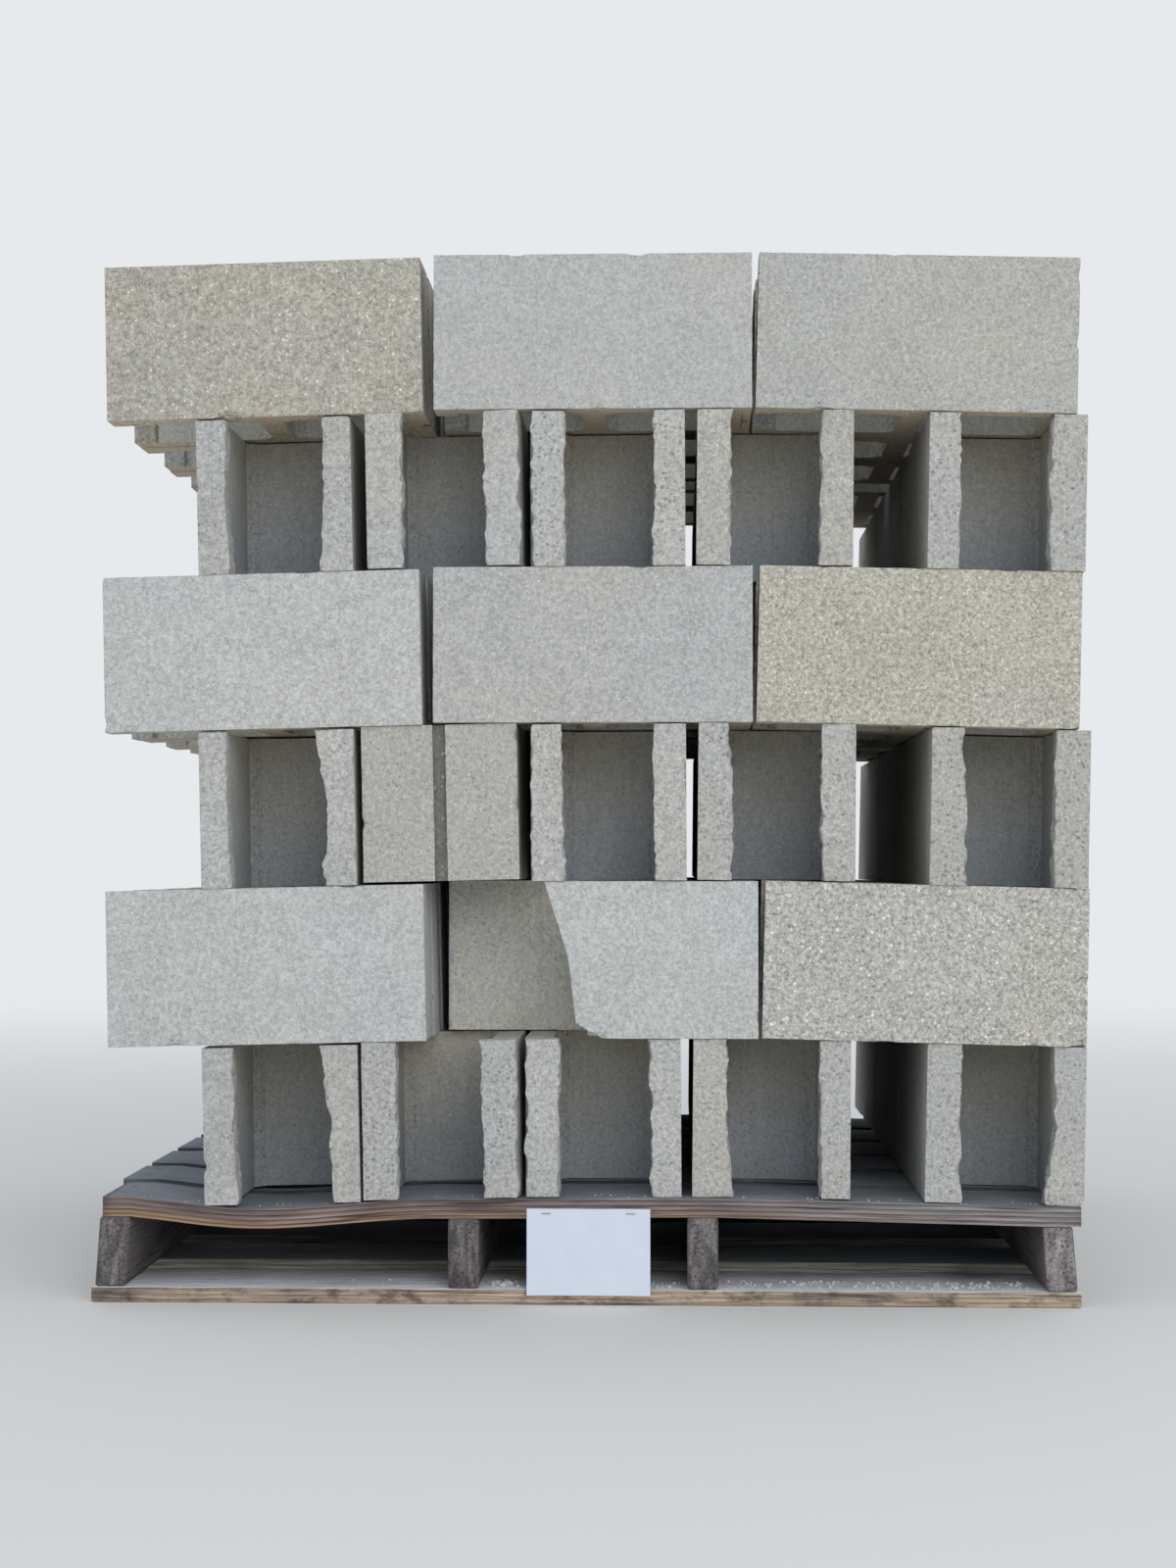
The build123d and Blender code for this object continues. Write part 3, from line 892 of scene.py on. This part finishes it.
def concrete_group():
    """Pressed concrete: sand, stones, pits, stains and mould drag, as a colour and a height."""
    tree = bpy.data.node_groups.new("pressed_concrete", "ShaderNodeTree")
    socket(tree, "Vector", "NodeSocketVector")
    for name in ("Cement", "Stone", "Shade"):
        socket(tree, name, "NodeSocketColor")
    for name in ("Coarseness", "Drag"):
        socket(tree, name, "NodeSocketFloat")
    socket(tree, "Color", "NodeSocketColor", into=False)
    socket(tree, "Height", "NodeSocketFloat", into=False)
    start = tree.nodes.new("NodeGroupInput").outputs
    place, coarse = start["Vector"], start["Coarseness"]
    sand = noise(tree, place, 420.0, 3.0, 0.65)
    grit = noise(tree, place, 190.0, 2.0, 0.6)
    mottle = noise(tree, place, 11.0, 4.0, 0.6)
    cells = add_node(tree, "ShaderNodeTexVoronoi", inputs={"Vector": place, "Scale": 210.0}).outputs
    lots = add_node(tree, "ShaderNodeSeparateColor", inputs={0: cells["Color"]}).outputs
    shape = stretch_range(tree, cells["Distance"], 0.25, 0.5, 1.0, 0.0)
    strength = maths(tree, "MULTIPLY_ADD", coarse, 0.75, 0.30, clamp=True)
    pale = times(tree, stretch_range(tree, lots[0], 0.70, 0.95), shape)
    dark = times(tree, stretch_range(tree, lots[1], 0.74, 0.97), shape)
    pale = times(tree, pale, strength)
    dark = times(tree, dark, strength)
    colour = blend_colours(tree, pale, start["Cement"], start["Stone"])
    colour = blend_colours(tree, dark, colour, start["Shade"])
    speckle, patch, crumbs = (
        stretch_range(tree, texture, 0.30, 0.70, -1.0, 1.0) for texture in (sand, mottle, grit))
    value = times(tree, speckle, times(tree, coarse, 0.16, 0.16), 1.0)
    value = times(tree, crumbs, times(tree, coarse, 0.20, 0.12), value)
    value = times(tree, patch, 0.045, value)
    lines = stretch_range(tree, noise(tree, place, (170.0, 170.0, 5.0), 3.0, 0.6), 0.35, 0.65, -1.0, 1.0)
    value = times(tree, times(tree, lines, start["Drag"]), 0.09, value)
    warmth = stretch_range(tree, noise(tree, place, 4.5, 2.0, 0.5), 0.35, 0.65)
    tint = blend_colours(tree, warmth, (0.985, 1.0, 1.02), (1.015, 1.0, 0.975))
    height = times(tree, pale, 0.5, times(tree, sand, 0.35))
    height = maths(tree, "SUBTRACT", height, times(tree, dark, 0.9))
    height = times(tree, grit, times(tree, coarse, 0.8, 0.15), height)
    set_inputs(tree, tree.nodes.new("NodeGroupOutput"), {
        "Color": tinted(tree, tinted(tree, colour, value), tint), "Height": height})
    return tree


PRESSED_CONCRETE = concrete_group()
WEATHERED_STONE = (0.63, 0.61, 0.56)
DEEP_SHADE = (0.21, 0.20, 0.18)
# Cell wall colours with painted light in them: a warm painted bounce near the head, a bluish painted
# skylight at the foot.
CELL_HEAD_PAINTED_BOUNCE = (0.49, 0.46, 0.395)
CELL_FOOT_PAINTED_SKYLIGHT = (0.38, 0.41, 0.44)
# Painted warm light, laid over the cells of even courses and the broken block's hollow.
PAINTED_WARM_LIGHT_CELL = (0.65, 0.632, 0.565)
# Painted warm bounce light, laid on the faces that look down.
UNDERSIDE_PAINTED_BOUNCE = (0.62, 0.52, 0.39)


def concrete_material(name, cement, coarseness, stone=WEATHERED_STONE):
    """One finish of concrete, read off the faces: duller in the cells, rawest where it broke. The cells
    carry painted light, the undersides a painted warm bounce and the grooves painted shade.
    """
    material, tree, shader = new_material(name)
    read = {
        key: add_node(tree, "ShaderNodeAttribute", attribute_name=key).outputs["Fac"]
        for key in ("block_seed", "block_tone", "block_grit", "block_height", "cell_face", "broken_face",
                    "worn_face", "painted_warm_light_share")
    }
    shift = add_node(tree, "ShaderNodeCombineXYZ", inputs={
        axis: times(tree, read["block_seed"], factor) for axis, factor in enumerate((1.37, 2.11, 0.83))})
    moved = add_node(tree, "ShaderNodeVectorMath", operation="ADD", inputs={
        0: object_place(tree), 1: shift.outputs[0]})
    rough = maths(tree, "MAXIMUM", read["broken_face"], times(tree, read["worn_face"], 0.5))
    plain_grit = times(tree, read["cell_face"], -coarseness, coarseness)
    plain_grit = maths(tree, "ADD", plain_grit, read["block_grit"])
    up = stretch_range(tree, read["block_height"], 0.15, 0.95)
    # Painted light up the cell walls: bluish painted skylight at the foot, warm painted bounce near the
    # head.
    cell = blend_colours(tree, up, CELL_FOOT_PAINTED_SKYLIGHT, CELL_HEAD_PAINTED_BOUNCE)
    # Painted warm light where its share is set.
    cell = blend_colours(tree, read["painted_warm_light_share"], cell, PAINTED_WARM_LIGHT_CELL)
    inner = blend_colours(tree, read["cell_face"], cement, cell)
    # Faces that look down are tinted tan with painted bounce light.
    facing = parts_of(tree, add_node(tree, "ShaderNodeNewGeometry").outputs["Normal"])[2]
    inner = blend_colours(tree, stretch_range(tree, facing, -0.96, -0.99), inner, UNDERSIDE_PAINTED_BOUNCE)
    # The block tone carries random tone and the grooves' painted shade.
    group = add_node(tree, "ShaderNodeGroup", node_tree=PRESSED_CONCRETE, inputs={
        "Vector": moved.outputs[0],
        "Cement": tinted(tree, inner, times(tree, read["block_tone"], 0.025, 1.0)),
        "Stone": stone,
        "Shade": DEEP_SHADE,
        "Coarseness": maths(tree, "MAXIMUM", times(tree, rough, 0.8), plain_grit),
        "Drag": times(tree, read["cell_face"], 0.25, 0.15),
    }).outputs
    relief = {"Height": group["Height"], "Strength": times(tree, rough, 0.4, 0.6),
              "Distance": times(tree, rough, 0.0006, 0.0012)}
    set_inputs(tree, shader, {
        "Base Color": group["Color"],
        "Normal": add_node(tree, "ShaderNodeBump", inputs=relief).outputs[0],
        "Roughness": 0.92,
        "Specular IOR Level": 0.2,
    })
    return material


CONCRETE_FINISHES = [
    concrete_material("smooth_grey_concrete", (0.470, 0.465, 0.445), 0.16),
    concrete_material("pale_grey_concrete", (0.520, 0.525, 0.508), 0.16),
    concrete_material("warm_grey_concrete", (0.445, 0.435, 0.405), 0.26),
    concrete_material("coarse_tan_concrete", (0.435, 0.41, 0.35), 0.80, (0.70, 0.66, 0.56)),
    concrete_material("specked_concrete", (0.485, 0.47, 0.43), 0.90, (0.80, 0.77, 0.70)),
]

for course in range(1, 7):
    word = "column" if course % 2 else "row"
    for line in range(1, 6):
        node = f"course_{course}_{word}_{line}"
        finish_piece(course_piece(node, course, line), [node], "concrete", *CONCRETE_FINISHES)


# Nails and staples. Round nail heads of steel, rusted, hold each deck board down on the two outer
# stringers, driven flush with the wood. Two wire staples hold the paper to the lead board's edge.

NAIL_HEAD_RADIUS = 0.0042
NAIL_HEAD_HEIGHT = 0.0006
NAIL_HEAD_SIDES = 14
NAIL_HEAD_DOME = 0.82
NAIL_SINK = 0.0003
NAIL_SPREAD = 0.030


def geometry_tree(name, sockets):
    """An empty Geometry Nodes tree with a mesh in, a mesh out and these named inputs."""
    tree = bpy.data.node_groups.new(name, "GeometryNodeTree")
    socket(tree, "Mesh", "NodeSocketGeometry")
    socket(tree, "Mesh", "NodeSocketGeometry", into=False)
    for label, kind, value in sockets:
        socket(tree, label, kind, value=value)
    return tree, tree.nodes.new("NodeGroupInput").outputs, tree.nodes.new("NodeGroupOutput").inputs


def end_geometry(tree, instances, start, end):
    """Makes instances real, gives them the tree's material and sends them out of the tree."""
    whole = add_node(tree, "GeometryNodeRealizeInstances", inputs={0: instances.outputs[0]})
    painted = add_node(tree, "GeometryNodeSetMaterial", inputs={
        "Geometry": whole.outputs[0], "Material": start["Material"]})
    tree.links.new(painted.outputs[0], end["Mesh"])
    return tree


def grown_piece(name, mesh, tree, values, slot):
    """A mesh through a Geometry Nodes tree with these inputs, made plain and put on the body."""
    piece = placed(name, mesh)
    modifier = piece.modifiers.new("grow", "NODES")
    modifier.node_group = tree
    for item in tree.interface.items_tree:
        if item.in_out == "INPUT" and item.name in values:
            modifier[item.identifier] = values[item.name]
    finish_piece(made_plain(piece), [], slot)


def nail_head_tree():
    """Sets one flat, slightly domed nail head on each point of a mesh."""
    tree, start, end = geometry_tree("nail_heads", [
        ("Radius", "NodeSocketFloat", NAIL_HEAD_RADIUS), ("Material", "NodeSocketMaterial", None)])
    disc = add_node(tree, "GeometryNodeMeshCone", inputs={
        "Vertices": NAIL_HEAD_SIDES, "Depth": NAIL_HEAD_HEIGHT, "Radius Bottom": start["Radius"],
        "Radius Top": times(tree, start["Radius"], NAIL_HEAD_DOME)})
    heads = add_node(tree, "GeometryNodeInstanceOnPoints", inputs={
        "Points": start["Mesh"], "Instance": disc.outputs["Mesh"]})
    return end_geometry(tree, heads, start, end)


ABOVE_PALLET = 0.4


def plank_top(node, x, y):
    """The height of a worn plank's top at a place."""
    above = Vector((x, y, ABOVE_PALLET))
    hit, place, _, _ = bpy.data.objects[node + "_worn"].ray_cast(above, Vector((0, 0, -1)))
    return place.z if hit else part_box(node)[1].z


RUSTED_STEEL = flecked_material(
    "rusted_steel", 400.0, 3.0, (0.10, 0.06, 0.045), (0.22, 0.17, 0.15), 0.7, metallic=0.4)

nail_places = []
for number in range(1, 7):
    board = f"deck_board_{number}"
    board_low, board_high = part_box(board)
    for stringer in ("stringer_1", "stringer_4"):
        stringer_low, stringer_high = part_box(stringer)
        nail_x = (max(stringer_low.x, board_low.x) + min(stringer_high.x, board_high.x)) / 2
        for side in (-1, 1):
            nail_y = (board_low.y + board_high.y) / 2 + side * NAIL_SPREAD
            nail_places.append((nail_x, nail_y, plank_top(board, nail_x, nail_y) - NAIL_SINK))
nail_mesh = bpy.data.meshes.new("deck_nails")
nail_mesh.from_pydata(nail_places, [], [])
grown_piece("deck_nails", nail_mesh, nail_head_tree(),
            {"Radius": NAIL_HEAD_RADIUS, "Material": RUSTED_STEEL}, "pallet_wood")

STAPLE_LENGTH = 0.011
STAPLE_WIRE = 0.0007
STAPLE_SPREAD = 0.052
STAPLE_FORWARD = 0.0012
STAPLE_DOWN = 0.006
tag_low, tag_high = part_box("paper_tag")
tag_middle = (tag_low.x + tag_high.x) / 2
wires = bmesh.new()
for side in (-1, 1):
    made = bmesh.ops.create_cube(wires, size=1.0)["verts"]
    at = Vector((tag_middle + side * STAPLE_SPREAD, tag_high.y - STAPLE_FORWARD, tag_high.z - STAPLE_DOWN))
    bmesh.ops.scale(wires, vec=(STAPLE_LENGTH, STAPLE_WIRE, STAPLE_WIRE), verts=made)
    bmesh.ops.translate(wires, vec=at, verts=made)
finish_piece(placed("tag_staples", mesh_from(wires, "tag_staples")), [], "pallet_wood", RUSTED_STEEL)


# Crumbs. Bits of concrete that broke off the blocks and lie loose on the pallet: many on the front
# bottom board in the right bay, a few big ones in the middle bay, and small ones on the lead board.

CRUMB_JOLT = 0.28
CRUMB_COLUMNS = 12
CRUMB_LIFT = 0.0006
FULL_TURN = 6.28


def crumb_tree():
    """Scatters rough broken bits over a mesh, each turned at random and sized at random between two sizes.
    """
    tree, start, end = geometry_tree("crumb_scatter", [
        ("Density", "NodeSocketFloat", 1000.0), ("Smallest", "NodeSocketFloat", 0.001),
        ("Largest", "NodeSocketFloat", 0.003), ("Seed", "NodeSocketInt", 1),
        ("Material", "NodeSocketMaterial", None)])
    spots = add_node(tree, "GeometryNodeDistributePointsOnFaces", inputs={
        "Mesh": start["Mesh"], "Density": start["Density"], "Seed": start["Seed"]})
    bit = add_node(tree, "GeometryNodeMeshIcoSphere", inputs={"Radius": 1.0, "Subdivisions": 1})
    jolt = add_node(tree, "FunctionNodeRandomValue", data_type="FLOAT_VECTOR", inputs={
        "Min": (-CRUMB_JOLT,) * 3, "Max": (CRUMB_JOLT,) * 3, "Seed": 3})
    rough = add_node(tree, "GeometryNodeSetPosition", inputs={
        "Geometry": bit.outputs["Mesh"], "Offset": jolt.outputs["Value"]})
    turn = add_node(tree, "FunctionNodeRandomValue", data_type="FLOAT_VECTOR", inputs={
        "Min": (0.0,) * 3, "Max": (FULL_TURN,) * 3, "Seed": start["Seed"]})
    size = add_node(tree, "FunctionNodeRandomValue", data_type="FLOAT", inputs={
        2: start["Smallest"], 3: start["Largest"], "Seed": start["Seed"]})
    bits = add_node(tree, "GeometryNodeInstanceOnPoints", inputs={
        "Points": spots.outputs["Points"], "Instance": rough.outputs["Geometry"],
        "Rotation": turn.outputs["Value"], "Scale": size.outputs[1]})
    return end_geometry(tree, bits, start, end)


def strewn_patch(name, node, x_span, y_span):
    """A strip behind a worn plank's front edge that follows its top, for crumbs to lie on."""
    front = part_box(node)[0].y
    strip = bmesh.new()
    near, far = (
        [strip.verts.new((x, front + y, plank_top(node, x, front + y) + CRUMB_LIFT))
         for x in np.linspace(*x_span, CRUMB_COLUMNS)]
        for y in y_span)
    for number in range(1, CRUMB_COLUMNS):
        strip.faces.new((near[number - 1], near[number], far[number], far[number - 1]))
    return mesh_from(strip, name)


CRUMB = flecked_material("concrete_crumb", 90.0, 3.0, (0.40, 0.42, 0.43), (0.66, 0.67, 0.66), 0.95)
CRUMBS = crumb_tree()
for name, x_span, y_span, density, smallest, largest, seed in (
        ("right_bay_crumbs", (0.17, 0.55), (0.012, 0.065), 9000.0, 0.0007, 0.0030, 4),
        ("right_bay_lumps", (0.33, 0.54), (0.014, 0.050), 2600.0, 0.0020, 0.0045, 5),
        ("middle_bay_lumps", (-0.118, -0.078), (0.012, 0.045), 9000.0, 0.0022, 0.0060, 6),
        ("middle_bay_crumbs", (0.078, 0.12), (0.012, 0.045), 9000.0, 0.0008, 0.0035, 7),
        ("left_bay_crumbs", (-0.55, -0.18), (0.012, 0.07), 1300.0, 0.0006, 0.0018, 8),
        ("lead_board_crumbs", (-0.55, 0.59), (0.004, 0.03), 2200.0, 0.0005, 0.0016, 9)):
    node = "deck_board_1" if name == "lead_board_crumbs" else "bottom_board_1"
    grown_piece(name, strewn_patch(name, node, x_span, y_span), CRUMBS,
                {"Density": density, "Smallest": smallest, "Largest": largest, "Seed": seed,
                 "Material": CRUMB}, "concrete")


# Floor, light and camera. A plain pale floor, a soft sky and one large soft lamp from the right
# of the front. The camera stands in front of the load, a little below the load's middle.

FLOOR_REACH = 30.0
floor_mesh = bpy.data.meshes.new("floor")
floor_mesh.from_pydata([(-FLOOR_REACH, -FLOOR_REACH, 0), (FLOOR_REACH, -FLOOR_REACH, 0),
                        (FLOOR_REACH, FLOOR_REACH, 0), (-FLOOR_REACH, FLOOR_REACH, 0)], [], [(0, 1, 2, 3)])
floor = placed("floor", floor_mesh)
floor_paint, tree, floor_shader = new_material("floor_paint")
set_inputs(tree, floor_shader, {"Base Color": (0.78, 0.77, 0.75), "Roughness": 0.9})
BACKDROP = (0.80, 0.82, 0.84)
SKYLIGHT = (0.87, 0.93, 1.0)
far = add_node(tree, "ShaderNodeEmission", inputs={"Color": BACKDROP, "Strength": 1.0})
distance = add_node(tree, "ShaderNodeVectorMath", operation="LENGTH", inputs={0: object_place(tree)})
away = stretch_range(tree, distance.outputs["Value"], 1.5, 7.0)
away = times(tree, times(tree, away, away), times(tree, away, -2.0, 3.0))
away = times(tree, away, add_node(tree, "ShaderNodeLightPath").outputs["Is Camera Ray"])
mixed = add_node(tree, "ShaderNodeMixShader",
                 inputs={0: away, 1: floor_shader.outputs[0], 2: far.outputs[0]})
tree.links.new(mixed.outputs[0], tree.nodes["Material Output"].inputs[0])
floor_mesh.materials.append(floor_paint)

world = bpy.data.worlds.new("studio")
bpy.context.scene.world = world
world.use_nodes = True
tree = world.node_tree
seen = add_node(tree, "ShaderNodeBackground", inputs={"Color": BACKDROP, "Strength": 1.0})
lit = add_node(tree, "ShaderNodeBackground", inputs={"Color": SKYLIGHT, "Strength": 0.80})
rays = add_node(tree, "ShaderNodeLightPath").outputs
direct = maths(tree, "MAXIMUM", rays["Is Camera Ray"], rays["Is Glossy Ray"])
direct = maths(tree, "MAXIMUM", direct, rays["Is Transmission Ray"])
choice = add_node(tree, "ShaderNodeMixShader", inputs={0: direct, 1: lit.outputs[0], 2: seen.outputs[0]})
tree.links.new(choice.outputs[0], tree.nodes["World Output"].inputs[0])

lamp_data = bpy.data.lights.new("soft_window", "AREA")
lamp_data.shape = "RECTANGLE"
lamp_data.size = 5.0
lamp_data.size_y = 4.0
lamp_data.energy = 130.0
lamp_data.color = (1.0, 0.985, 0.96)
lamp = placed("soft_window", lamp_data)
lamp.location = (2.4, -6.0, 3.0)
lamp.rotation_euler = (Vector((0, 0, 0.6)) - lamp.location).to_track_quat("-Z", "Y").to_euler()

CAMERA_PLACE = Vector((0.118, -3.55, 0.54))
CAMERA_YAW = math.radians(2.1)
CAMERA_PITCH = math.radians(1.9)
camera_data = bpy.data.cameras.new("camera")
camera_data.lens = 56.5
camera_data.sensor_width = 36.0
camera = placed("camera", camera_data)
camera.location = CAMERA_PLACE
camera.rotation_euler = (math.radians(90) + CAMERA_PITCH, 0.0, CAMERA_YAW)
bpy.context.scene.camera = camera
bpy.context.scene.view_settings.view_transform = "Standard"
